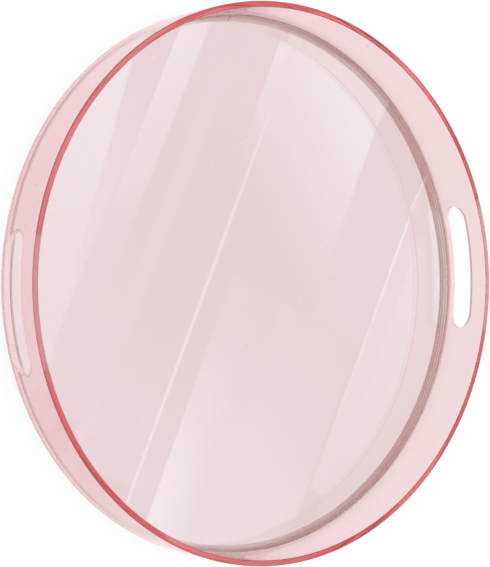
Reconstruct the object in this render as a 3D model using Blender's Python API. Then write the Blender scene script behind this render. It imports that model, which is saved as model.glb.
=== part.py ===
"""Round vanity tray: a bent wall ring with two hand slots, a floor plate, a cement bead and a foot ring.

Units are metres and +Z is up. The origin is at the centre of the tray, on the surface that it stands on.
The hand slots lie on the X axis.
"""

import math

import bmesh
import bpy
from mathutils import Matrix

# Driving dimensions
TRAY_RADIUS = 0.1524
TOTAL_HEIGHT = 0.038
SHEET_THICKNESS = 0.0032
FLOOR_THICKNESS = 0.003
FOOT_STANDOFF = 0.004
FOOT_WIDTH = 0.0035
FOOT_TOP_WIDTH = 0.001
SLOT_LENGTH = 0.0732
SLOT_HEIGHT = 0.0171
SLOT_ABOVE_FLOOR = 0.0007
EDGE_CHAMFER = 0.0003
FLOOR_CHAMFER = 0.0016
BEAD_CLIMB = 0.0004
FOOT_CHAMFER = 0.0006
GAP = 0.0003

# Facets round the tray and round each end of a slot
ROUND_SEGMENTS = 144
SLOT_END_SEGMENTS = 12
MERGE_DISTANCE = 0.00001
SMOOTH_ANGLE = math.radians(20)

# Worked out from the driving dimensions
WALL_INNER_RADIUS = TRAY_RADIUS - SHEET_THICKNESS
WALL_BOTTOM = FOOT_STANDOFF
FLOOR_TOP = FOOT_STANDOFF + FLOOR_THICKNESS
FLOOR_RADIUS = WALL_INNER_RADIUS - GAP
FOOT_OUTER_RADIUS = WALL_INNER_RADIUS
SLOT_CENTRE_HEIGHT = FLOOR_TOP + SLOT_ABOVE_FLOOR + SLOT_HEIGHT / 2

# Colours (linear RGB), roughness and transmission
ROSE_SHEET = {"color": (0.87, 0.52, 0.55), "roughness": 0.03, "transmission": 0.9}
ROSE_CEMENT = {"color": (0.60, 0.30, 0.29), "roughness": 0.25, "transmission": 0.5}
GREY_SILICONE = {"color": (0.55, 0.50, 0.50), "roughness": 0.45, "transmission": 0.4}


def clear_scene():
    """Remove every object that the file starts with."""
    for item in list(bpy.data.objects):
        bpy.data.objects.remove(item, do_unlink=True)


def add_material(name, finish):
    """Make one Principled material."""
    material = bpy.data.materials.new(name)
    material.use_nodes = True
    shader = material.node_tree.nodes["Principled BSDF"]
    shader.inputs["Base Color"].default_value = (*finish["color"], 1.0)
    shader.inputs["Roughness"].default_value = finish["roughness"]
    shader.inputs["Metallic"].default_value = 0.0
    shader.inputs["Transmission Weight"].default_value = finish["transmission"]
    return material


def add_object(name, mesh_data, finish=None):
    """Turn a bmesh into a named object of the scene, with its material."""
    mesh = bpy.data.meshes.new(name)
    mesh_data.to_mesh(mesh)
    mesh_data.free()
    item = bpy.data.objects.new(name, mesh)
    bpy.context.scene.collection.objects.link(item)
    if finish is not None:
        mesh.materials.append(add_material(name + "_material", finish))
        mesh.shade_smooth()
        mesh.set_sharp_from_angle(angle=SMOOTH_ANGLE)
    return item


def turned_ring(profile):
    """Spin a closed outline of (radius, height) points once round the Z axis."""
    ring = bmesh.new()
    points = [ring.verts.new((radius, 0.0, height)) for radius, height in profile]
    edges = [ring.edges.new((points[i - 1], points[i])) for i in range(len(points))]
    bmesh.ops.spin(
        ring,
        geom=points + edges,
        cent=(0.0, 0.0, 0.0),
        axis=(0.0, 0.0, 1.0),
        angle=2 * math.pi,
        steps=ROUND_SEGMENTS,
        use_merge=True,
    )
    bmesh.ops.remove_doubles(ring, verts=ring.verts, dist=MERGE_DISTANCE)
    bmesh.ops.recalc_face_normals(ring, faces=ring.faces)
    return ring


def slot_cutter(name):
    """Make a bar with round ends that runs along X, across the tray and through both sides of the wall."""
    half_straight = (SLOT_LENGTH - SLOT_HEIGHT) / 2
    end_radius = SLOT_HEIGHT / 2
    outline = []
    for side in (1, -1):
        for step in range(SLOT_END_SEGMENTS + 1):
            angle = math.pi * (step / SLOT_END_SEGMENTS - 0.5)
            across = side * (half_straight + end_radius * math.cos(angle))
            outline.append((across, SLOT_CENTRE_HEIGHT + side * end_radius * math.sin(angle)))
    bar = bmesh.new()
    reach = TRAY_RADIUS * 1.1
    face = bar.faces.new([bar.verts.new((-reach, across, height)) for across, height in outline])
    pushed = bmesh.ops.extrude_face_region(bar, geom=[face])
    new_points = [part for part in pushed["geom"] if isinstance(part, bmesh.types.BMVert)]
    bmesh.ops.translate(bar, verts=new_points, vec=(2 * reach, 0.0, 0.0))
    bmesh.ops.recalc_face_normals(bar, faces=bar.faces)
    cutter = add_object(name, bar)
    cutter.hide_render = True
    cutter.display_type = "WIRE"
    return cutter


def make_wall_ring():
    """Make the upright strip, bent into a ring, with its edges eased and both hand slots cut."""
    outer = TRAY_RADIUS
    inner = WALL_INNER_RADIUS
    top = TOTAL_HEIGHT
    bottom = WALL_BOTTOM
    profile = [
        (inner + EDGE_CHAMFER, bottom),
        (outer - EDGE_CHAMFER, bottom),
        (outer, bottom + EDGE_CHAMFER),
        (outer, top - EDGE_CHAMFER),
        (outer - EDGE_CHAMFER, top),
        (inner + EDGE_CHAMFER, top),
        (inner, top - EDGE_CHAMFER),
        (inner, bottom + EDGE_CHAMFER),
    ]
    wall = add_object("wall_ring", turned_ring(profile), ROSE_SHEET)
    cut = wall.modifiers.new("hand_slots", "BOOLEAN")
    cut.operation = "DIFFERENCE"
    cut.solver = "EXACT"
    cut.object = slot_cutter("slot_cutter")
    return wall


def make_floor_plate():
    """Make the round plate inside the wall, with its top edge chamfered to take the cement."""
    plate = bmesh.new()
    bmesh.ops.create_cone(
        plate,
        cap_ends=True,
        segments=ROUND_SEGMENTS,
        radius1=FLOOR_RADIUS,
        radius2=FLOOR_RADIUS,
        depth=FLOOR_THICKNESS,
        matrix=Matrix.Rotation(math.pi / 2, 4, "Z"),
    )
    middle = (FLOOR_TOP + WALL_BOTTOM) / 2
    bmesh.ops.translate(plate, verts=plate.verts, vec=(0.0, 0.0, middle))
    rim = [edge for edge in plate.edges if all(vert.co.z > middle for vert in edge.verts)]
    bmesh.ops.bevel(plate, geom=rim, offset=FLOOR_CHAMFER, segments=1, affect="EDGES")
    return add_object("floor_plate", plate, ROSE_SHEET)


def make_cement_bead():
    """Make the bead of cement that fills the groove between the floor's chamfer and the wall."""
    slant_gap = GAP * math.sqrt(2)
    wall_side = FLOOR_RADIUS
    profile = [
        (wall_side - FLOOR_CHAMFER + slant_gap, FLOOR_TOP),
        (wall_side, FLOOR_TOP - FLOOR_CHAMFER + slant_gap),
        (wall_side, FLOOR_TOP + BEAD_CLIMB),
    ]
    return add_object("cement_bead", turned_ring(profile), ROSE_CEMENT)


def make_foot_ring():
    """Make the soft ring under the rim of the floor, broad where the tray stands on it and tapered upwards."""
    outer = FOOT_OUTER_RADIUS
    inner = FOOT_OUTER_RADIUS - FOOT_WIDTH
    top = FOOT_STANDOFF - GAP
    profile = [
        (inner, 0.0),
        (outer - FOOT_CHAMFER, 0.0),
        (outer, FOOT_CHAMFER),
        (outer, top),
        (outer - FOOT_TOP_WIDTH, top),
        (inner, FOOT_CHAMFER),
    ]
    return add_object("foot_ring", turned_ring(profile), GREY_SILICONE)


clear_scene()
make_wall_ring()
make_floor_plate()
make_cement_bead()
make_foot_ring()
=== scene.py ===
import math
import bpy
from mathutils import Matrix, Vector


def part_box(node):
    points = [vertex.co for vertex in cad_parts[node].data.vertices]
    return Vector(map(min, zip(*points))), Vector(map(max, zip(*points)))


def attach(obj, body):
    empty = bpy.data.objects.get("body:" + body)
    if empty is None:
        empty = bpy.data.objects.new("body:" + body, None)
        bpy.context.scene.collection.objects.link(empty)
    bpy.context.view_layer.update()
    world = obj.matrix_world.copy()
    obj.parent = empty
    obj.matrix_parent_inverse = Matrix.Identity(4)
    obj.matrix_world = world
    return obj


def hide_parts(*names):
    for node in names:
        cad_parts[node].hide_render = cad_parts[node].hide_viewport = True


bl_info = {
    "name": "Rose Vanity Tray",
    "version": (1, 0, 0),
    "blender": (4, 5, 0),
    "location": "3D View > Sidebar > Vanity Tray",
    "description": "Models the pieces of a round transparent vanity tray, and a plain studio for it",
    "category": "Add Mesh",
}

import bmesh
import bpy
from mathutils import Matrix, Vector

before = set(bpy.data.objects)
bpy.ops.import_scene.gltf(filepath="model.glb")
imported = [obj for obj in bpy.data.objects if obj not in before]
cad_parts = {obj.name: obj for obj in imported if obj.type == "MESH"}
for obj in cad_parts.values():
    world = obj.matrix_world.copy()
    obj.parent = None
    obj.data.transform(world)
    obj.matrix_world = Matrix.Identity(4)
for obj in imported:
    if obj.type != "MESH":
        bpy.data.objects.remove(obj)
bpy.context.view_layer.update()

# Distances in metres: for merging doubled points, for telling that two places are the same, and for telling
# that a face lies within the sheet and not on its skin.
MERGE_DISTANCE = 1e-6
SAME_PLACE = 1e-5
EDGE_SKIN = 0.00005

FULL_TURN = 2 * math.pi
ORIGIN = (0.0, 0.0, 0.0)

TABLE_SIZE = 8.0
TABLE_DROP = 0.00005

FLOAT_SOCKET = "NodeSocketFloat"
WHITE = (1.0, 1.0, 1.0)
ACRYLIC_IOR = 1.49
SILICONE_IOR = 1.41
STREAK_TINT = (0.58, 1.0, 0.97)

# The painted shade on the sheet reaches its near level at the first of these places, and the painted shade
# on the cement fades out between the other two. All three are measured along X.
PAINTED_SHADE_MIDDLE = -0.03
CEMENT_SHADE_UNTIL = 0.02
CEMENT_SHADE_GONE_FROM = 0.12

# Painted shade on the rim at the near side.
NEAR_RIM_PAINTED_SHADE = (0.56, 0.36, 0.45)

wall_low, wall_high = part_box("wall_ring")
floor_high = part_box("floor_plate")[1]
foot_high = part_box("foot_ring")[1]

TRAY_RADIUS = wall_high.x
WALL_BOTTOM = wall_low.z
RIM_HEIGHT = wall_high.z
FLOOR_TOP = floor_high.z
FOOT_OUTER_RADIUS = foot_high.x


# Settings that a user would change


class SheetSettings(bpy.types.PropertyGroup):
    """Sizes and tint of the acrylic sheet that the wall and the floor are made from."""

    thickness: bpy.props.FloatProperty(
        name="Wall thickness",
        description="Thickness of the bent strip",
        default=0.0032,
        unit="LENGTH",
        precision=4,
    )
    round_steps: bpy.props.IntProperty(
        name="Round steps",
        description="Facets round the tray",
        default=720,
        min=96,
    )
    edge_radius: bpy.props.FloatProperty(
        name="Polished edge radius",
        description="Radius of the polished edges of the strip",
        default=0.0005,
        unit="LENGTH",
        precision=4,
    )
    slot_length: bpy.props.FloatProperty(
        name="Slot length",
        description="End-to-end length of each hand slot",
        default=0.0732,
        unit="LENGTH",
        precision=4,
    )
    slot_height: bpy.props.FloatProperty(
        name="Slot height",
        description="Height of each hand slot",
        default=0.0171,
        unit="LENGTH",
        precision=4,
    )
    slot_above_floor: bpy.props.FloatProperty(
        name="Slot above floor",
        description="Height of the slots' lower edges above the floor",
        default=0.0007,
        unit="LENGTH",
        precision=4,
    )
    slot_edge: bpy.props.FloatProperty(
        name="Slot edge",
        description="Width that the edges of the slots and of the floor are eased by",
        default=0.0002,
        unit="LENGTH",
        precision=4,
    )
    floor_chamfer: bpy.props.FloatProperty(
        name="Floor chamfer",
        description="Chamfer round the floor's top edge, which takes the cement",
        default=0.0016,
        unit="LENGTH",
        precision=4,
    )
    floor_clearance: bpy.props.FloatProperty(
        name="Floor clearance",
        description="Gap between the floor's edge and the wall",
        default=0.00006,
        unit="LENGTH",
        precision=5,
    )
    absorbed_tint: bpy.props.FloatVectorProperty(
        name="Sheet tint",
        description="Colour that deep sheet tends to",
        subtype="COLOR",
        size=3,
        default=(0.93, 0.22, 0.235),
        min=0.0,
        max=1.0,
    )
    absorption: bpy.props.FloatProperty(
        name="Absorption",
        description="Density of the tint, per metre of sheet",
        default=64.0,
    )
    floor_absorption: bpy.props.FloatProperty(
        name="Floor absorption",
        description="Density of the tint in the floor plate, per metre",
        default=54.0,
    )


class CementSettings(bpy.types.PropertyGroup):
    """Size and colour of the cement bead."""

    climb: bpy.props.FloatProperty(
        name="Climb",
        description="How far the bead climbs the wall above the floor",
        default=0.0004,
        unit="LENGTH",
        precision=4,
    )
    absorbed_tint: bpy.props.FloatVectorProperty(
        name="Cement tint",
        description="Colour that deep cement tends to",
        subtype="COLOR",
        size=3,
        default=(0.75, 0.30, 0.25),
        min=0.0,
        max=1.0,
    )
    absorption: bpy.props.FloatProperty(
        name="Absorption",
        description="Density of the tint, per metre of cement",
        default=120.0,
    )


class FootSettings(bpy.types.PropertyGroup):
    """Section and colour of the soft foot ring."""

    width: bpy.props.FloatProperty(
        name="Foot width",
        description="Width of the ring where the tray stands on it",
        default=0.0035,
        unit="LENGTH",
        precision=4,
    )
    top_width: bpy.props.FloatProperty(
        name="Top width",
        description="Width of the ring where it meets the floor plate",
        default=0.001,
        unit="LENGTH",
        precision=4,
    )
    ribs: bpy.props.IntProperty(
        name="Ribs",
        description="Fine ribs down the ring's slanted inner side",
        default=4,
        min=1,
    )
    rib_depth: bpy.props.FloatProperty(
        name="Rib depth",
        description="Depth of the grooves between the ribs",
        default=0.00012,
        unit="LENGTH",
        precision=5,
    )
    joint_gap: bpy.props.FloatProperty(
        name="Joint gap",
        description="Gap where the ends of the silicone strip meet",
        default=0.0003,
        unit="LENGTH",
        precision=4,
    )
    joint_angle: bpy.props.FloatProperty(
        name="Joint angle",
        description="Where the ends of the strip meet, from +X towards +Y",
        subtype="ANGLE",
        default=math.radians(-89.3),
    )
    absorbed_tint: bpy.props.FloatVectorProperty(
        name="Silicone tint",
        description="Colour that deep silicone tends to",
        subtype="COLOR",
        size=3,
        default=(0.50, 0.16, 0.08),
        min=0.0,
        max=1.0,
    )
    absorption: bpy.props.FloatProperty(
        name="Absorption",
        description="Density of the tint, per metre of silicone",
        default=155.0,
    )


class StudioSettings(bpy.types.PropertyGroup):
    """Camera, backdrop and lights."""

    camera_distance: bpy.props.FloatProperty(
        name="Camera distance",
        description="From the spot that the camera is aimed at to the camera",
        default=0.9374,
        unit="LENGTH",
    )
    aim_height: bpy.props.FloatProperty(
        name="Aim height",
        description="Height above the table of the spot on the tray's axis that the camera is aimed at",
        default=0.0022,
        unit="LENGTH",
        precision=4,
    )
    camera_elevation: bpy.props.FloatProperty(
        name="Elevation",
        description="Camera's angle above the table",
        subtype="ANGLE",
        default=math.radians(54.76),
    )
    camera_azimuth: bpy.props.FloatProperty(
        name="Azimuth",
        description="Camera's angle from +X towards +Y",
        subtype="ANGLE",
        default=math.radians(-4.13),
    )
    camera_roll: bpy.props.FloatProperty(
        name="Roll",
        description="Turn of the camera about its own axis, so that the tray's far side is at the right",
        subtype="ANGLE",
        default=math.radians(90.31),
    )
    lens: bpy.props.FloatProperty(
        name="Lens",
        description="Focal length in millimetres",
        default=106.56,
    )
    sky_strength: bpy.props.FloatProperty(
        name="Studio light",
        description="Brightness of the white surroundings",
        default=1.08,
    )
    table_reflectance: bpy.props.FloatProperty(
        name="Table reflectance",
        description="Share of the light that the table surface reflects",
        default=0.15,
    )
    table_glow: bpy.props.FloatProperty(
        name="Table glow",
        description="Light that comes up through the table surface",
        default=0.87,
    )
    light_bounces: bpy.props.IntProperty(
        name="Light bounces",
        description="How often light may turn inside the sheet",
        default=40,
    )
    card_height: bpy.props.FloatProperty(
        name="Card height",
        description="Height of the light strips above the table",
        default=1.2,
        unit="LENGTH",
    )
    streak_turn: bpy.props.FloatProperty(
        name="Streak direction",
        description="Direction of the light streaks across the floor, from +X towards +Y",
        subtype="ANGLE",
        default=math.radians(62.0),
    )


# Light streaks
#
# Each has a name, the light that it adds, its level at the left, right, start and end, the two corners
# where its reflection starts on the tray's floor, and the two where it ends. A corner is its distance
# across the streaks and its distance along them, from the middle of the tray.

STREAKS = (
    ("left_sheen", 2.4, (1, 1, 1, 0.55),
     ((-0.200, -0.110), (-0.122, -0.110)), ((-0.200, 0.110), (-0.095, 0.110))),
    ("left_shade", 1.3, (1, 0.8, 0.45, 1),
     ((-0.121, -0.110), (-0.0995, -0.110)), ((-0.100, 0.070), (-0.0995, 0.070))),
    ("pale_band", 2.3, (1, 0.8, 1, 0.22),
     ((-0.0988, -0.120), (-0.0823, -0.120)), ((-0.0988, 0.030), (-0.0823, 0.030))),
    ("band_tail", 0.65, (1, 1, 0.75, 1),
     ((-0.0988, 0.031), (-0.0823, 0.031)), ((-0.0988, 0.130), (-0.0823, 0.130))),
    ("soft_1", 0.5, (1, 1, 1, 0.1),
     ((-0.0820, -0.140), (-0.0700, -0.140)), ((-0.0820, -0.040), (-0.0700, -0.040))),
    ("soft_2", 0.6, (1, 1, 0.1, 1),
     ((-0.0820, 0.0), (-0.0700, 0.0)), ((-0.0820, 0.110), (-0.0700, 0.110))),
    ("soft_3", 0.35, (1, 1, 1, 1),
     ((-0.0697, -0.140), (-0.0605, -0.140)), ((-0.0697, 0.020), (-0.0605, 0.020))),
    ("soft_4", 0.8, (1, 1, 0.4, 1),
     ((-0.0697, 0.021), (-0.0605, 0.021)), ((-0.0697, 0.140), (-0.0605, 0.140))),
    ("soft_5", 0.45, (1, 1, 1, 0),
     ((-0.0603, -0.140), (-0.0380, -0.140)), ((-0.0603, -0.045), (-0.0370, -0.045))),
    ("soft_6", 0.65, (1, 1, 0, 1),
     ((-0.0603, 0.030), (-0.0270, 0.030)), ((-0.0603, 0.130), (-0.0260, 0.130))),
    ("soft_7", 0.7, (1, 1, 0, 1),
     ((-0.0240, 0.050), (-0.0118, 0.050)), ((-0.0238, 0.140), (-0.0103, 0.140))),
    ("line_1", 2.5, (1, 1, 0.6, 1),
     ((-0.0278, -0.150), (-0.0262, -0.150)), ((-0.0257, 0.150), (-0.0241, 0.150))),
    ("top_left", 2.2, (1, 1, 1, 0),
     ((-0.0376, -0.150), (-0.0280, -0.150)), ((-0.0350, -0.045), (-0.0274, -0.045))),
    ("top_right", 2.7, (0.76, 1, 1, 0),
     ((-0.0260, -0.150), (0.0460, -0.150)), ((-0.0256, -0.045), (0.0460, 0.010))),
    ("low_left", 2.9, (1, 0.52, 0.08, 1),
     ((-0.0118, 0.0), (0.0250, 0.0)), ((-0.0096, 0.160), (0.0250, 0.160))),
    ("low_right", 1.5, (1, 0.75, 0.2, 1),
     ((0.0252, 0.0), (0.0850, 0.0)), ((0.0252, 0.160), (0.0850, 0.160))),
    ("right_soft", 0.75, (0.75, 1, 1, 0.6),
     ((0.0463, -0.150), (0.0890, -0.150)), ((0.0463, -0.001), (0.0880, -0.001))),
    ("line_2", 3.2, (1, 1, 1, 0.3),
     ((0.0907, -0.130), (0.0926, -0.130)), ((0.0869, 0.090), (0.0888, 0.090))),
    ("right_shade", 0.95, (1, 1, 1, 0.9),
     ((0.0928, -0.130), (0.1028, -0.130)), ((0.0890, 0.090), (0.1005, 0.090))),
    ("right_sheen", 1.9, (0.9, 1, 1, 0.45),
     ((0.1030, -0.130), (0.200, -0.130)), ((0.1007, 0.110), (0.200, 0.110))),
)


# Modelling helpers


def deselect_everything():
    """Leave object mode as the only mode, with nothing selected."""
    if bpy.context.object is not None and bpy.context.object.mode != "OBJECT":
        bpy.ops.object.mode_set(mode="OBJECT")
    bpy.ops.object.select_all(action="DESELECT")


def select_only(piece):
    """Make one object the selected and active one, in object mode."""
    deselect_everything()
    piece.select_set(True)
    bpy.context.view_layer.objects.active = piece


def select_in_edit_mode(piece, kind, wanted):
    """Select the points or the edges of the edited mesh that pass a test, and nothing else."""
    bpy.ops.mesh.select_mode(type=kind)
    bpy.ops.mesh.select_all(action="DESELECT")
    mesh = bmesh.from_edit_mesh(piece.data)
    parts = {"VERT": mesh.verts, "EDGE": mesh.edges}[kind]
    for part in parts:
        if wanted(part):
            part.select_set(True)
    mesh.select_flush_mode()
    bmesh.update_edit_mesh(piece.data)


def new_piece(name):
    """Name the object that a primitive operator has just added, and open it for editing."""
    piece = bpy.context.object
    piece.name = name
    piece.data.name = name
    bpy.ops.object.mode_set(mode="EDIT")
    bpy.ops.mesh.select_all(action="SELECT")
    return piece


def add_section(name, inner, outer, bottom, top):
    """Add an upright rectangle in the XZ plane, from radius inner to outer, and open it for editing."""
    deselect_everything()
    bpy.ops.mesh.primitive_plane_add(size=1.0)
    piece = new_piece(name)
    bpy.ops.transform.resize(value=(outer - inner, top - bottom, 1.0), center_override=ORIGIN)
    bpy.ops.transform.rotate(value=math.pi / 2, orient_axis="X", center_override=ORIGIN)
    bpy.ops.transform.translate(value=((inner + outer) / 2, 0.0, (bottom + top) / 2))
    return piece


def near(value, target, reach=SAME_PLACE):
    """Say whether a value lies at a target."""
    return abs(value - target) < reach


def is_sharp(edge, degrees):
    """Say whether the two faces of an edge meet at more than an angle."""
    return len(edge.link_faces) == 2 and edge.calc_face_angle() > math.radians(degrees)


def spin_section(steps, opening=0.0):
    """Turn the edited section into a ring round Z, closed or open by an angle, and leave edit mode."""
    bpy.ops.mesh.select_mode(type="VERT")
    bpy.ops.mesh.select_all(action="SELECT")
    if opening == 0.0:
        bpy.ops.mesh.delete(type="ONLY_FACE")
        bpy.ops.mesh.select_all(action="SELECT")
    bpy.ops.mesh.spin(steps=steps, angle=FULL_TURN - opening, center=ORIGIN, axis=(0.0, 0.0, 1.0))
    close_mesh()
    bpy.ops.object.mode_set(mode="OBJECT")


def close_mesh():
    """Merge doubled points of the edited mesh and turn its faces outwards."""
    bpy.ops.mesh.select_all(action="SELECT")
    bpy.ops.mesh.remove_doubles(threshold=MERGE_DISTANCE)
    bpy.ops.mesh.normals_make_consistent(inside=False)


def shade_round(piece, degrees):
    """Shade a piece smooth, except across edges sharper than an angle, with its broad faces kept true."""
    select_only(piece)
    bpy.ops.object.shade_smooth_by_angle(angle=math.radians(degrees))
    weighted = piece.modifiers.new("broad_faces_true", "WEIGHTED_NORMAL")
    weighted.keep_sharp = True
    weighted.weight = 100
    bpy.ops.object.modifier_apply(modifier=weighted.name)


def dress_faces(piece, material, wanted):
    """Give a second material to the faces whose centre passes a test."""
    piece.data.materials.append(material)
    index = len(piece.data.materials) - 1
    for face in piece.data.polygons:
        if wanted(face.center):
            face.material_index = index


def on_near_edge(spot, radius):
    """Say whether a spot lies on the near half of an upright edge at a radius."""
    return spot.x > 0.0 and math.hypot(spot.x, spot.y) > radius - EDGE_SKIN


def finish_piece(piece, material, node):
    """Give a piece its material, and have it ride on the tray in place of its plain solid."""
    piece.data.materials.clear()
    piece.data.materials.append(material)
    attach(piece, "root")
    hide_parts(node)


# Materials


def node_at(tree, kind, x, y, **inputs):
    """Add a shader node at a place in its tree, with values for its named inputs."""
    node = tree.nodes.new(kind)
    node.location = (x, y)
    for name, value in inputs.items():
        node.inputs[name.replace("_", " ")].default_value = value
    return node


def new_group(name, inputs, outputs):
    """Start a node group with named float sockets, and return it with its input and output nodes."""
    group = bpy.data.node_groups.new(name, "ShaderNodeTree")
    group.interface.new_socket(name="Vector", in_out="INPUT", socket_type="NodeSocketVector")
    for socket_name, value in inputs.items():
        socket = group.interface.new_socket(name=socket_name, in_out="INPUT", socket_type=FLOAT_SOCKET)
        socket.default_value = value
    for socket_name in outputs:
        group.interface.new_socket(name=socket_name, in_out="OUTPUT", socket_type=FLOAT_SOCKET)
    source = node_at(group, "NodeGroupInput", -900, 0)
    sink = node_at(group, "NodeGroupOutput", 700, 0)
    return group, source, sink


def math_node(tree, operation, x, y, first=None, second=None):
    """Add a Math node whose inputs are numbers or other nodes' sockets."""
    node = tree.nodes.new("ShaderNodeMath")
    node.operation = operation
    node.location = (x, y)
    for place, value in enumerate((first, second)):
        if isinstance(value, (int, float)):
            node.inputs[place].default_value = value
        elif value is not None:
            tree.links.new(value, node.inputs[place])
    return node.outputs[0]


def fine_scratches_group():
    """Hairline wiping scratches in three directions, as a height."""
    group, source, sink = new_group("fine_scratches", {"Spacing": 260.0, "Amount": 1.0}, ["Height"])
    directions = (0.35, 1.45, 2.6)
    noise_above = 0.70
    total = None
    for place, turn in enumerate(directions):
        y = 300 - 300 * place
        mapping = node_at(group, "ShaderNodeMapping", -700, y)
        mapping.inputs["Rotation"].default_value = (0.0, 0.0, turn)
        mapping.inputs["Scale"].default_value = (0.02, 1.0, 0.3)
        group.links.new(source.outputs["Vector"], mapping.inputs["Vector"])
        noise = node_at(group, "ShaderNodeTexNoise", -500, y, Detail=2.0, Roughness=0.4)
        group.links.new(mapping.outputs["Vector"], noise.inputs["Vector"])
        group.links.new(source.outputs["Spacing"], noise.inputs["Scale"])
        lifted = math_node(group, "SUBTRACT", -300, y, noise.outputs["Fac"], noise_above)
        line = math_node(group, "MAXIMUM", -120, y, lifted, 0.0)
        total = line if total is None else math_node(group, "ADD", 60, y, total, line)
    height = math_node(group, "MULTIPLY", 260, 0, total, source.outputs["Amount"])
    group.links.new(height, sink.inputs["Height"])
    return group


def dust_specks_group():
    """Scattered tiny specks, as a mask."""
    settings = {"Spacing": 170.0, "Speck": 0.09, "Share": 0.12}
    group, source, sink = new_group("dust_specks", settings, ["Mask"])
    cells = node_at(group, "ShaderNodeTexVoronoi", -600, 100)
    group.links.new(source.outputs["Vector"], cells.inputs["Vector"])
    group.links.new(source.outputs["Spacing"], cells.inputs["Scale"])
    inside = math_node(group, "LESS_THAN", -300, 100, cells.outputs["Distance"], source.outputs["Speck"])
    chosen = node_at(group, "ShaderNodeSeparateColor", -420, -150)
    group.links.new(cells.outputs["Color"], chosen.inputs["Color"])
    picked = math_node(group, "LESS_THAN", -200, -150, chosen.outputs["Red"], source.outputs["Share"])
    mask = math_node(group, "MULTIPLY", 100, 0, inside, picked)
    group.links.new(mask, sink.inputs["Mask"])
    return group


def handling_haze_group():
    """Broad soft patches where a surface has been wiped and handled, from 0 to 1."""
    group, source, sink = new_group("handling_haze", {"Spacing": 14.0, "Contrast": 1.6}, ["Mask"])
    noise = node_at(group, "ShaderNodeTexNoise", -600, 0, Detail=3.0, Roughness=0.55)
    group.links.new(source.outputs["Vector"], noise.inputs["Vector"])
    group.links.new(source.outputs["Spacing"], noise.inputs["Scale"])
    centred = math_node(group, "SUBTRACT", -400, 0, noise.outputs["Fac"], 0.5)
    spread = math_node(group, "MULTIPLY", -200, 0, centred, source.outputs["Contrast"])
    shifted = math_node(group, "ADD", 0, 0, spread, 0.5)
    clamp = node_at(group, "ShaderNodeClamp", 200, 0)
    group.links.new(shifted, clamp.inputs["Value"])
    group.links.new(clamp.outputs["Result"], sink.inputs["Mask"])
    return group


def shared_group(name):
    """Find a shared effect, or build it the first time that it is asked for."""
    makers = {
        "fine_scratches": fine_scratches_group,
        "dust_specks": dust_specks_group,
        "handling_haze": handling_haze_group,
    }
    found = bpy.data.node_groups.get(name)
    return found if found is not None else makers[name]()


def place_group(tree, name, vector, x, y, **inputs):
    """Place a shared effect in a material, reading a vector, with its own values."""
    node = tree.nodes.new("ShaderNodeGroup")
    node.node_tree = shared_group(name)
    node.location = (x, y)
    for socket_name, value in inputs.items():
        node.inputs[socket_name].default_value = value
    tree.links.new(vector, node.inputs["Vector"])
    return node


def new_material(name):
    """Start a material with its Principled shader and output, reading object coordinates."""
    material = bpy.data.materials.new(name)
    material.use_nodes = True
    tree = material.node_tree
    shader = tree.nodes["Principled BSDF"]
    place = node_at(tree, "ShaderNodeTexCoord", -1100, 0).outputs["Object"]
    return material, tree, shader, place


def blend_colors(tree, mask, low, high, x, y):
    """Mix two colours by a mask, each given as a triple or as another node's socket."""
    mix = tree.nodes.new("ShaderNodeMix")
    mix.data_type = "RGBA"
    mix.location = (x, y)
    for name, color in (("A", low), ("B", high)):
        if isinstance(color, tuple):
            mix.inputs[name].default_value = (*color, 1.0)
        else:
            tree.links.new(color, mix.inputs[name])
    tree.links.new(mask, mix.inputs["Factor"])
    return mix.outputs["Result"]


def map_range(tree, value, low, high, x, y):
    """Stretch a 0 to 1 value to a range."""
    node = node_at(tree, "ShaderNodeMapRange", x, y, To_Min=low, To_Max=high)
    tree.links.new(value, node.inputs["Value"])
    return node.outputs["Result"]


def share_between(tree, value, start, end, x, y):
    """Say how far a value lies from a start to an end, from 0 to 1."""
    node = node_at(tree, "ShaderNodeMapRange", x, y, From_Min=start, From_Max=end)
    tree.links.new(value, node.inputs["Value"])
    return node.outputs["Result"]


def smooth_range(tree, value, low, high, x, y):
    """Ease a 0 to 1 value from one level to another."""
    node = node_at(tree, "ShaderNodeMapRange", x, y)
    node.interpolation_type = "SMOOTHSTEP"
    node.inputs["To Min"].default_value = low
    node.inputs["To Max"].default_value = high
    tree.links.new(value, node.inputs["Value"])
    return node.outputs["Result"]


def add_bump(tree, shader, height, strength, distance):
    """Feed a height into the shader's normal."""
    bump = node_at(tree, "ShaderNodeBump", -300, -400, Strength=strength, Distance=distance)
    tree.links.new(height, bump.inputs["Height"])
    tree.links.new(bump.outputs["Normal"], shader.inputs["Normal"])


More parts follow.
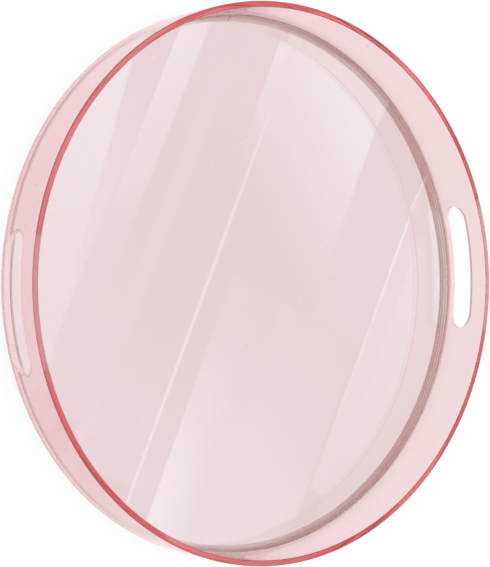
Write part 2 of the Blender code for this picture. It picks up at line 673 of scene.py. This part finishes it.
def rose_acrylic(name, far_painted_shade, near_painted_shade, rim_height, tint, density):
    """Polished transparent acrylic: its colour comes from the depth of sheet that light crosses.

    The outside of the broad faces carries a painted shade, from one level at the far side to another at the
    middle and the near side. Above a height lies the rim, with no painted shade at the far side and a
    darker painted shade at the near side. Light that is already inside the sheet meets no painted shade."""
    material, tree, shader, place = new_material(name)
    painted_shade_wander = 0.02
    speck_roughness = 0.3
    haze = place_group(tree, "handling_haze", place, -800, 300, Spacing=14.0)
    parts = node_at(tree, "ShaderNodeSeparateXYZ", -980, 500)
    tree.links.new(place, parts.inputs["Vector"])
    # Painted shade on the outside faces: its border wanders a little with the haze, and it runs from the
    # far side to the middle, with a darker painted shade on the near rim.
    wander = math_node(tree, "MULTIPLY", -640, 420, haze.outputs["Mask"], painted_shade_wander)
    across = math_node(tree, "ADD", -640, 600, parts.outputs["X"], wander)
    nearness = share_between(tree, across, -TRAY_RADIUS, PAINTED_SHADE_MIDDLE, -480, 600)
    painted_shade = blend_colors(tree, nearness, far_painted_shade, near_painted_shade, -320, 560)
    rim_painted_shade = blend_colors(tree, nearness, WHITE, NEAR_RIM_PAINTED_SHADE, -320, 760)
    on_rim = math_node(tree, "GREATER_THAN", -480, 360, parts.outputs["Z"], rim_height)
    outside = blend_colors(tree, on_rim, painted_shade, rim_painted_shade, -160, 660)
    inside = node_at(tree, "ShaderNodeNewGeometry", -640, 200).outputs["Backfacing"]
    surface = blend_colors(tree, inside, outside, WHITE, -160, 460)
    tree.links.new(surface, shader.inputs["Base Color"])
    scratches = place_group(tree, "fine_scratches", place, -800, -100, Spacing=420.0)
    dust = place_group(tree, "dust_specks", place, -800, -350, Spacing=150.0)
    polish = map_range(tree, haze.outputs["Mask"], 0.0, 0.012, -560, 50)
    speckled = math_node(tree, "MULTIPLY", -560, -250, dust.outputs["Mask"], speck_roughness)
    tree.links.new(math_node(tree, "ADD", -300, 0, polish, speckled), shader.inputs["Roughness"])
    make_clear(shader, ACRYLIC_IOR)
    add_bump(tree, shader, scratches.outputs["Height"], strength=0.15, distance=0.00002)
    add_depth_tint(tree, tint, density)
    return material


def make_clear(shader, ior):
    """Let light pass through a shader's material."""
    shader.inputs["Transmission Weight"].default_value = 1.0
    shader.inputs["IOR"].default_value = ior


def add_depth_tint(tree, tint, density):
    """Give a material's body a tint that deepens with the depth of material that light crosses."""
    body = node_at(tree, "ShaderNodeVolumeAbsorption", -100, -600, Density=density)
    body.inputs["Color"].default_value = (*tint, 1.0)
    tree.links.new(body.outputs["Volume"], tree.nodes["Material Output"].inputs["Volume"])


def milled_acrylic(name, low, high, far_glow, near_glow):
    """Matt face that a cutter has left, with its fine marks, and a painted glow, from one level at the far
    side to another at the near side, standing in for the light that the sheet pipes to it.
    """
    material, tree, shader, place = new_material(name)
    haze = place_group(tree, "handling_haze", place, -800, 300, Spacing=90.0, Contrast=2.0)
    marks = place_group(tree, "fine_scratches", place, -800, -100, Spacing=2400.0)
    surface = blend_colors(tree, haze.outputs["Mask"], low, high, -500, 300)
    tree.links.new(surface, shader.inputs["Base Color"])
    tree.links.new(map_range(tree, haze.outputs["Mask"], 0.42, 0.6, -500, 50), shader.inputs["Roughness"])
    shader.inputs["IOR"].default_value = ACRYLIC_IOR
    add_bump(tree, shader, marks.outputs["Height"], strength=0.3, distance=0.00005)
    parts = node_at(tree, "ShaderNodeSeparateXYZ", -980, 600)
    tree.links.new(place, parts.inputs["Vector"])
    nearness = share_between(tree, parts.outputs["X"], -TRAY_RADIUS, TRAY_RADIUS, -800, 600)
    # Painted glow: emission standing in for the light that the sheet pipes, from the far side to the near
    # side.
    far_light = tuple(channel * far_glow for channel in high)
    near_light = tuple(channel * near_glow for channel in high)
    painted_glow = blend_colors(tree, nearness, far_light, near_light, -500, 600)
    tree.links.new(painted_glow, shader.inputs["Emission Color"])
    shader.inputs["Emission Strength"].default_value = 1.0
    return material


def painted_light_edge(name):
    """Pale matt edge with a painted glow that rises towards the near side; put only on near edges, its
    paleness is painted light as well.
    """
    low = (0.95, 0.88, 0.89)
    high = (0.98, 0.92, 0.93)
    return milled_acrylic(name, low, high, far_glow=0.0, near_glow=0.3)


def cured_cement(name, unshaded_cement, shaded_cement, tint, density):
    """Clear cement gathered in the corner, with a painted shade in its colour: brown over the far side and
    the middle, fading to nearly clear towards the near side.
    """
    material, tree, shader, place = new_material(name)
    bubbles = place_group(tree, "dust_specks", place, -800, -100, Spacing=900.0, Speck=0.25, Share=0.3)
    haze = place_group(tree, "handling_haze", place, -800, 300, Spacing=60.0, Contrast=2.0)
    parts = node_at(tree, "ShaderNodeSeparateXYZ", -980, 500)
    tree.links.new(place, parts.inputs["Vector"])
    # Painted shade: fades out along X towards the near side.
    shade_fade = share_between(tree, parts.outputs["X"], CEMENT_SHADE_UNTIL, CEMENT_SHADE_GONE_FROM, -800, 550)
    tree.links.new(blend_colors(tree, shade_fade, shaded_cement, unshaded_cement, -500, 300), shader.inputs["Base Color"])
    tree.links.new(map_range(tree, haze.outputs["Mask"], 0.04, 0.12, -500, 50), shader.inputs["Roughness"])
    make_clear(shader, ACRYLIC_IOR)
    add_bump(tree, shader, bubbles.outputs["Mask"], strength=0.4, distance=0.0001)
    add_depth_tint(tree, tint, density)
    return material


def clear_silicone(name, tint, density):
    """Soft hazy silicone with a satin skin, tinted in its depth."""
    material, tree, shader, place = new_material(name)
    haze = place_group(tree, "handling_haze", place, -800, 300, Spacing=40.0)
    grain = place_group(tree, "dust_specks", place, -800, -100, Spacing=1400.0, Speck=0.3, Share=0.5)
    worn = (0.90, 0.88, 0.88)
    fresh = (0.96, 0.94, 0.94)
    surface = blend_colors(tree, haze.outputs["Mask"], worn, fresh, -500, 300)
    tree.links.new(surface, shader.inputs["Base Color"])
    tree.links.new(map_range(tree, haze.outputs["Mask"], 0.16, 0.28, -500, 50), shader.inputs["Roughness"])
    make_clear(shader, SILICONE_IOR)
    add_bump(tree, shader, grain.outputs["Mask"], strength=0.15, distance=0.00003)
    add_depth_tint(tree, tint, density)
    return material


def lit_table(name, reflectance, glow):
    """Matt white table surface, lit from below."""
    material, tree, shader, place = new_material(name)
    haze = place_group(tree, "handling_haze", place, -800, 300, Spacing=3.0)
    low = (reflectance * 0.99,) * 3
    high = (reflectance * 1.01,) * 3
    surface = blend_colors(tree, haze.outputs["Mask"], low, high, -500, 300)
    tree.links.new(surface, shader.inputs["Base Color"])
    shader.inputs["Roughness"].default_value = 0.9
    shader.inputs["Specular IOR Level"].default_value = 0.0
    shader.inputs["Emission Color"].default_value = (*WHITE, 1.0)
    shader.inputs["Emission Strength"].default_value = glow
    return material


def light_strip(name, surroundings, extra, levels):
    """Cool light on top of its surroundings, fading between levels at its left, right, start and end."""
    left, right, start, end = levels
    material = bpy.data.materials.new(name)
    material.use_nodes = True
    tree = material.node_tree
    tree.nodes.remove(tree.nodes["Principled BSDF"])
    place = node_at(tree, "ShaderNodeTexCoord", -900, 0)
    parts = node_at(tree, "ShaderNodeSeparateXYZ", -720, 0)
    tree.links.new(place.outputs["UV"], parts.inputs["Vector"])
    across = smooth_range(tree, parts.outputs["X"], left, right, -540, 150)
    along = smooth_range(tree, parts.outputs["Y"], start, end, -540, -150)
    level = math_node(tree, "MULTIPLY", -340, 0, across, along)
    even = node_at(tree, "ShaderNodeEmission", 0, 150, Strength=surroundings)
    added = node_at(tree, "ShaderNodeEmission", 0, -50, Color=(*STREAK_TINT, 1.0))
    tree.links.new(math_node(tree, "MULTIPLY", -180, 0, level, extra), added.inputs["Strength"])
    both = tree.nodes.new("ShaderNodeAddShader")
    both.location = (160, 50)
    tree.links.new(even.outputs["Emission"], both.inputs[0])
    tree.links.new(added.outputs["Emission"], both.inputs[1])
    tree.links.new(both.outputs["Shader"], tree.nodes["Material Output"].inputs["Surface"])
    return material


# Pieces


class VANITY_OT_wall_ring(bpy.types.Operator):
    """Bend the strip into a ring, ease its edges and cut the two hand slots"""

    bl_idname = "vanity_tray.wall_ring"
    bl_label = "Wall Ring"

    def execute(self, context):
        sheet = context.scene.vanity_sheet
        inner = TRAY_RADIUS - sheet.thickness
        ring = add_section("wall_ring_polished", inner, TRAY_RADIUS, WALL_BOTTOM, RIM_HEIGHT)
        bpy.ops.mesh.bevel(offset=sheet.edge_radius, segments=4, affect="VERTICES")
        spin_section(sheet.round_steps)
        self.cut_slots(ring, sheet)
        self.ease_slots(ring, sheet)
        shade_round(ring, degrees=32)
        # The wall's outside faces carry painted shade, darker at the far side than at the near side.
        acrylic = rose_acrylic(
            "rose_acrylic_wall",
            far_painted_shade=(0.755, 0.690, 0.690),
            near_painted_shade=(0.93, 0.86, 0.90),
            rim_height=RIM_HEIGHT - sheet.edge_radius,
            tint=sheet.absorbed_tint,
            density=sheet.absorption,
        )
        finish_piece(ring, acrylic, "wall_ring")
        self.dress_slots(ring, inner, sheet)
        return {"FINISHED"}

    def dress_slots(self, ring, inner, sheet):
        """Make the slots' faces matt: the lower faces a rosy painted shade, the upper faces pale painted
        light with more painted glow.
        """
        # Lower faces: rosy painted shade, with a faint painted glow at the far side.
        rosy = milled_acrylic(
            "milled_slot_lower",
            low=(0.81, 0.58, 0.60),
            high=(0.87, 0.66, 0.68),
            far_glow=0.04,
            near_glow=0.0,
        )
        dress_faces(ring, rosy, lambda spot: self.on_slot_face(spot, inner, sheet, upper=False))
        # Upper faces: pale painted light and a painted glow, brighter at the near side.
        pale = milled_acrylic(
            "milled_slot_upper",
            low=(0.94, 0.88, 0.88),
            high=(0.97, 0.92, 0.92),
            far_glow=0.16,
            near_glow=0.32,
        )
        dress_faces(ring, pale, lambda spot: self.on_slot_face(spot, inner, sheet, upper=True))

    def on_slot_face(self, spot, inner, sheet, upper):
        """Say whether a spot lies on the upper or the lower half of a slot's faces."""
        within = inner + EDGE_SKIN < math.hypot(spot.x, spot.y) < TRAY_RADIUS - EDGE_SKIN
        middle = self.slot_middle(sheet)
        in_slot = abs(spot.z - middle) < sheet.slot_height / 2 + EDGE_SKIN
        return within and in_slot and (spot.z > middle) == upper

    def slot_middle(self, sheet):
        """Say how high the middle of the slots is above the table."""
        return FLOOR_TOP + sheet.slot_above_floor + sheet.slot_height / 2

    def cut_slots(self, ring, sheet):
        """Cut both slots with one bar that runs right across the tray."""
        deselect_everything()
        bpy.ops.mesh.primitive_cube_add(size=1.0)
        bar = new_piece("slot_bar")
        bar_length = 2.2 * TRAY_RADIUS
        size = (bar_length, sheet.slot_length, sheet.slot_height)
        bpy.ops.transform.resize(value=size, center_override=ORIGIN)
        bpy.ops.transform.translate(value=(0.0, 0.0, self.slot_middle(sheet)))
        select_in_edit_mode(bar, "EDGE", lambda edge: near(edge.verts[0].co.y, edge.verts[1].co.y)
                            and near(edge.verts[0].co.z, edge.verts[1].co.z))
        round_end = sheet.slot_height / 2
        bpy.ops.mesh.bevel(offset=round_end, segments=20, affect="EDGES", clamp_overlap=False)
        bpy.ops.mesh.select_all(action="SELECT")
        bpy.ops.mesh.remove_doubles(threshold=SAME_PLACE)
        bpy.ops.mesh.normals_make_consistent(inside=False)
        select_only(ring)
        cut = ring.modifiers.new("slots", "BOOLEAN")
        cut.operation = "DIFFERENCE"
        cut.solver = "EXACT"
        cut.object = bar
        bpy.ops.object.modifier_apply(modifier=cut.name)
        bpy.data.objects.remove(bar)

    def ease_slots(self, ring, sheet):
        """Ease the sharp edges round the slots."""
        select_only(ring)
        bpy.ops.object.mode_set(mode="EDIT")
        select_in_edit_mode(ring, "EDGE", lambda edge: is_sharp(edge, degrees=50))
        bpy.ops.mesh.bevel(offset=sheet.slot_edge, segments=2, affect="EDGES", clamp_overlap=False)
        close_mesh()
        bpy.ops.object.mode_set(mode="OBJECT")


class VANITY_OT_floor_plate(bpy.types.Operator):
    """Turn the floor plate, with the chamfer that takes the cement"""

    bl_idname = "vanity_tray.floor_plate"
    bl_label = "Floor Plate"

    def execute(self, context):
        sheet = context.scene.vanity_sheet
        radius = TRAY_RADIUS - sheet.thickness - sheet.floor_clearance
        depth = FLOOR_TOP - WALL_BOTTOM
        deselect_everything()
        bpy.ops.mesh.primitive_cylinder_add(vertices=sheet.round_steps, radius=radius, depth=depth)
        plate = new_piece("floor_plate_polished")
        bpy.ops.transform.translate(value=(0.0, 0.0, (FLOOR_TOP + WALL_BOTTOM) / 2))
        select_in_edit_mode(plate, "EDGE", lambda edge: all(near(v.co.z, FLOOR_TOP) for v in edge.verts))
        bpy.ops.mesh.bevel(offset=sheet.floor_chamfer, segments=1, affect="EDGES")
        select_in_edit_mode(plate, "EDGE", lambda edge: is_sharp(edge, degrees=30))
        bpy.ops.mesh.bevel(offset=sheet.slot_edge, segments=2, affect="EDGES")
        close_mesh()
        bpy.ops.object.mode_set(mode="OBJECT")
        shade_round(plate, degrees=32)
        # The floor plate's outside faces carry a nearly even painted shade.
        acrylic = rose_acrylic(
            "rose_acrylic_floor",
            far_painted_shade=(0.684, 0.572, 0.602),
            near_painted_shade=(0.693, 0.576, 0.608),
            rim_height=RIM_HEIGHT,
            tint=sheet.absorbed_tint,
            density=sheet.floor_absorption,
        )
        finish_piece(plate, acrylic, "floor_plate")
        # Painted light: the near half of the floor's edge is pale and glows.
        dress_faces(plate, painted_light_edge("floor_edge_painted_light"), lambda spot: on_near_edge(spot, radius))
        return {"FINISHED"}


class VANITY_OT_cement_bead(bpy.types.Operator):
    """Run the bead of cement round the corner between the floor and the wall"""

    bl_idname = "vanity_tray.cement_bead"
    bl_label = "Cement Bead"

    def execute(self, context):
        sheet = context.scene.vanity_sheet
        cement = context.scene.vanity_cement
        outer = TRAY_RADIUS - sheet.thickness - sheet.floor_clearance
        inner = outer - sheet.floor_chamfer
        bottom = FLOOR_TOP - sheet.floor_chamfer
        bead = add_section("cement_bead_cured", inner, outer, bottom, FLOOR_TOP)
        select_in_edit_mode(bead, "VERT", lambda v: near(v.co.x, inner) and near(v.co.z, bottom))
        # The slanted side stops just short of the other corners, so that two narrow faces are left there.
        slant_share = 0.93
        bpy.ops.mesh.bevel(offset=sheet.floor_chamfer * slant_share, segments=1, affect="VERTICES")
        select_in_edit_mode(bead, "VERT", lambda v: near(v.co.x, outer) and near(v.co.z, FLOOR_TOP))
        bpy.ops.transform.translate(value=(0.0, 0.0, cement.climb))
        above = FLOOR_TOP - SAME_PLACE
        select_in_edit_mode(bead, "EDGE", lambda edge: all(v.co.z > above for v in edge.verts))
        bpy.ops.mesh.subdivide(number_cuts=5)
        spin_section(sheet.round_steps)
        shade_round(bead, degrees=40)
        # Painted shade for the cement: brown at the far side, nearly clear at the near side.
        unshaded_cement = (0.99, 0.97, 0.97)
        shaded_cement = (0.92, 0.82, 0.80)
        cured = cured_cement("cured_cement", unshaded_cement, shaded_cement, cement.absorbed_tint, cement.absorption)
        finish_piece(bead, cured, "cement_bead")
        # Painted light: the near half of the bead's outer face is pale and glows.
        dress_faces(bead, painted_light_edge("cement_painted_light"), lambda spot: on_near_edge(spot, outer))
        return {"FINISHED"}


class VANITY_OT_foot_ring(bpy.types.Operator):
    """Mould the soft ring that the tray stands on, with fine ribs down its slanted side"""

    bl_idname = "vanity_tray.foot_ring"
    bl_label = "Foot Ring"

    def execute(self, context):
        sheet = context.scene.vanity_sheet
        foot = context.scene.vanity_foot
        inner = FOOT_OUTER_RADIUS - foot.width
        top = WALL_BOTTOM - sheet.floor_clearance
        ring = add_section("foot_ring_moulded", inner, FOOT_OUTER_RADIUS, 0.0, top)
        select_in_edit_mode(ring, "VERT", lambda v: near(v.co.x, inner) and near(v.co.z, top))
        bpy.ops.transform.translate(value=(foot.width - foot.top_width, 0.0, 0.0))
        self.rib_slant(ring, foot, inner, top)
        spin_section(sheet.round_steps, foot.joint_gap / FOOT_OUTER_RADIUS)
        select_only(ring)
        bpy.ops.object.mode_set(mode="EDIT")
        bpy.ops.mesh.select_all(action="SELECT")
        # The rotate operator turns from +Y towards +X, against the angle's own direction.
        bpy.ops.transform.rotate(value=-foot.joint_angle, orient_axis="Z", center_override=ORIGIN)
        bpy.ops.object.mode_set(mode="OBJECT")
        shade_round(ring, degrees=50)
        silicone = clear_silicone("clear_silicone", foot.absorbed_tint, foot.absorption)
        finish_piece(ring, silicone, "foot_ring")
        return {"FINISHED"}

    def rib_slant(self, ring, foot, inner, top):
        """Press grooves into the slanted side of the section."""
        run = foot.width - foot.top_width
        slant = Vector((run, 0.0, top)).normalized()
        inwards = Vector((slant.z, 0.0, -slant.x))
        start = Vector((inner, 0.0, 0.0))

        def on_slant(point):
            return near((point - start).dot(inwards), 0.0)

        select_in_edit_mode(ring, "EDGE", lambda edge: all(on_slant(v.co) for v in edge.verts))
        bpy.ops.mesh.subdivide(number_cuts=4 * foot.ribs - 1)
        length = math.hypot(run, top)
        cell = length / foot.ribs

        def in_groove(vert):
            along = (vert.co - start).dot(slant)
            return on_slant(vert.co) and near(along % cell, cell / 2, cell / 8)

        select_in_edit_mode(ring, "VERT", in_groove)
        bpy.ops.transform.translate(value=inwards * foot.rib_depth)


class VANITY_OT_studio(bpy.types.Operator):
    """Set the table surface, the surroundings, the light strips and the camera"""

    bl_idname = "vanity_tray.studio"
    bl_label = "Studio"

    def execute(self, context):
        studio = context.scene.vanity_studio
        self.add_table(studio)
        self.add_surroundings(context, studio)
        camera = self.add_camera(context, studio)
        self.add_light_strips(studio, camera.location)
        context.scene.view_settings.view_transform = "Standard"
        context.scene.cycles.max_bounces = studio.light_bounces
        context.scene.cycles.glossy_bounces = studio.light_bounces
        context.scene.cycles.transmission_bounces = studio.light_bounces
        return {"FINISHED"}

    def add_table(self, studio):
        """Lay a wide pale surface just under the tray."""
        deselect_everything()
        bpy.ops.mesh.primitive_plane_add(size=TABLE_SIZE, location=(0.0, 0.0, -TABLE_DROP))
        table = bpy.context.object
        table.name = "table_surface"
        surface = lit_table("lit_table", studio.table_reflectance, studio.table_glow)
        table.data.materials.append(surface)

    def add_surroundings(self, context, studio):
        """Surround the tray with even white light."""
        world = bpy.data.worlds.new("white_surroundings")
        world.use_nodes = True
        background = world.node_tree.nodes["Background"]
        background.inputs["Color"].default_value = (*WHITE, 1.0)
        background.inputs["Strength"].default_value = studio.sky_strength
        context.scene.world = world

    def add_camera(self, context, studio):
        """Aim the camera at the tray's axis, rolled onto its side."""
        target = Vector((0.0, 0.0, studio.aim_height))
        level = math.cos(studio.camera_elevation)
        away = Vector((
            level * math.cos(studio.camera_azimuth),
            level * math.sin(studio.camera_azimuth),
            math.sin(studio.camera_elevation),
        ))
        bpy.ops.object.camera_add(location=target + away * studio.camera_distance)
        camera = bpy.context.object
        camera.name = "studio_camera"
        aim = away.to_track_quat("Z", "Y").to_matrix()
        camera.rotation_euler = (aim @ Matrix.Rotation(studio.camera_roll, 3, "Z")).to_euler()
        camera.data.lens = studio.lens
        context.scene.camera = camera
        return camera

    def add_light_strips(self, studio, eye):
        """Hang strips of light where the floor mirrors them as streaks."""
        along = Vector((math.cos(studio.streak_turn), math.sin(studio.streak_turn), 0.0))
        across = Vector((-along.y, along.x, 0.0))
        mirrored_eye = Vector((eye.x, eye.y, 2 * FLOOR_TOP - eye.z))
        reach = (studio.card_height - mirrored_eye.z) / (FLOOR_TOP - mirrored_eye.z)
        for name, extra, levels, start, end in STREAKS:
            deselect_everything()
            bpy.ops.mesh.primitive_grid_add(x_subdivisions=8, y_subdivisions=8, size=2.0)
            strip = bpy.context.object
            strip.name = name
            for vert in strip.data.vertices:
                sideways = (vert.co.x + 1) / 2
                first = Vector(start[0]).lerp(Vector(start[1]), sideways)
                last = Vector(end[0]).lerp(Vector(end[1]), sideways)
                place = first.lerp(last, (vert.co.y + 1) / 2)
                spot = across * place.x + along * place.y + Vector((0.0, 0.0, FLOOR_TOP))
                vert.co = mirrored_eye + (spot - mirrored_eye) * reach
            strip.data.materials.append(light_strip(name, studio.sky_strength, extra, levels))
            strip.visible_camera = False
            strip.visible_diffuse = False
            strip.visible_shadow = False


class VANITY_PT_panel(bpy.types.Panel):
    """Buttons and settings for the tray"""

    bl_idname = "VANITY_PT_panel"
    bl_label = "Vanity Tray"
    bl_space_type = "VIEW_3D"
    bl_region_type = "UI"
    bl_category = "Vanity Tray"

    def draw(self, context):
        for kind in PIECE_OPERATORS:
            self.layout.operator(kind.bl_idname)
        for name in SETTINGS:
            group = getattr(context.scene, name)
            box = self.layout.box()
            for key in group.__annotations__:
                box.prop(group, key)


PIECE_OPERATORS = (
    VANITY_OT_studio,
    VANITY_OT_wall_ring,
    VANITY_OT_floor_plate,
    VANITY_OT_cement_bead,
    VANITY_OT_foot_ring,
)
SETTINGS = {
    "vanity_sheet": SheetSettings,
    "vanity_cement": CementSettings,
    "vanity_foot": FootSettings,
    "vanity_studio": StudioSettings,
}


def register():
    for kind in (*SETTINGS.values(), *PIECE_OPERATORS, VANITY_PT_panel):
        bpy.utils.register_class(kind)
    for name, kind in SETTINGS.items():
        setattr(bpy.types.Scene, name, bpy.props.PointerProperty(type=kind))


def unregister():
    for name in SETTINGS:
        delattr(bpy.types.Scene, name)
    for kind in (VANITY_PT_panel, *reversed(PIECE_OPERATORS), *reversed(SETTINGS.values())):
        bpy.utils.unregister_class(kind)


def main():
    register()
    bpy.ops.vanity_tray.studio()
    bpy.ops.vanity_tray.wall_ring()
    bpy.ops.vanity_tray.floor_plate()
    bpy.ops.vanity_tray.cement_bead()
    bpy.ops.vanity_tray.foot_ring()


if __name__ == "__main__":
    main()
